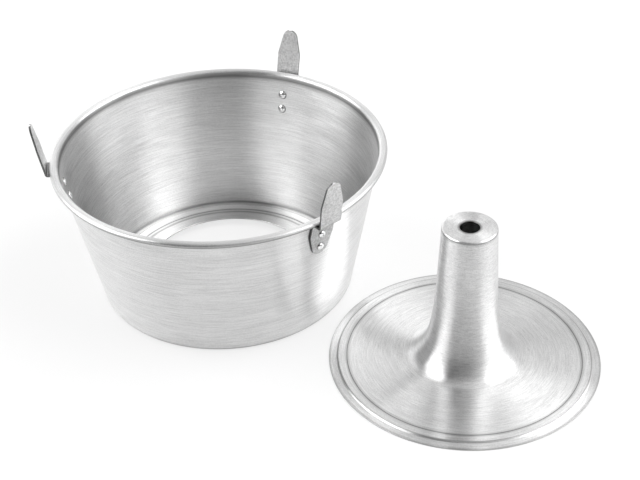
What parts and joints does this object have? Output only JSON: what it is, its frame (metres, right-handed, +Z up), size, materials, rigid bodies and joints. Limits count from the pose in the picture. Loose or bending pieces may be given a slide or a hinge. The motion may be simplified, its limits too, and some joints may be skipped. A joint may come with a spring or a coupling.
{
  "type": "angel food cake pan",
  "caption": "Tapered round cake pan with a rolled rim, an open floor and riveted cooling feet, and a separate flared tube insert standing beside it.",
  "frame": {"origin": "on the table, in the middle of the rectangle that the pan and the insert take up together", "axes": "+Z is up; +X runs from the pan towards the insert along the longer side of that rectangle; +Y runs away from the insert towards the back foot"},
  "size_m": [0.4118, 0.3394, 0.1498],
  "materials": {
    "spun_aluminium": "spun, with fine rings round the axis",
    "foot_strip": "dull mill finish with cut edges",
    "rivet_aluminium": "bright formed heads"
  },
  "bodies": {
    "pan": {"pan_shell": "spun_aluminium", "foot_back": "foot_strip", "foot_left": "foot_strip", "foot_front": "foot_strip", "rivet_back_upper": "rivet_aluminium", "rivet_back_lower": "rivet_aluminium", "rivet_left_upper": "rivet_aluminium", "rivet_left_lower": "rivet_aluminium", "rivet_front_upper": "rivet_aluminium", "rivet_front_lower": "rivet_aluminium"},
    "insert": {"tube_insert": "spun_aluminium"}
  },
  "joints": [
    {"name": "insert_lift", "type": "slide", "parent": "pan", "child": "insert", "axis": [0.2878, -0.1848, 0.9397], "range_m": [0, 0.16]}
  ]
}
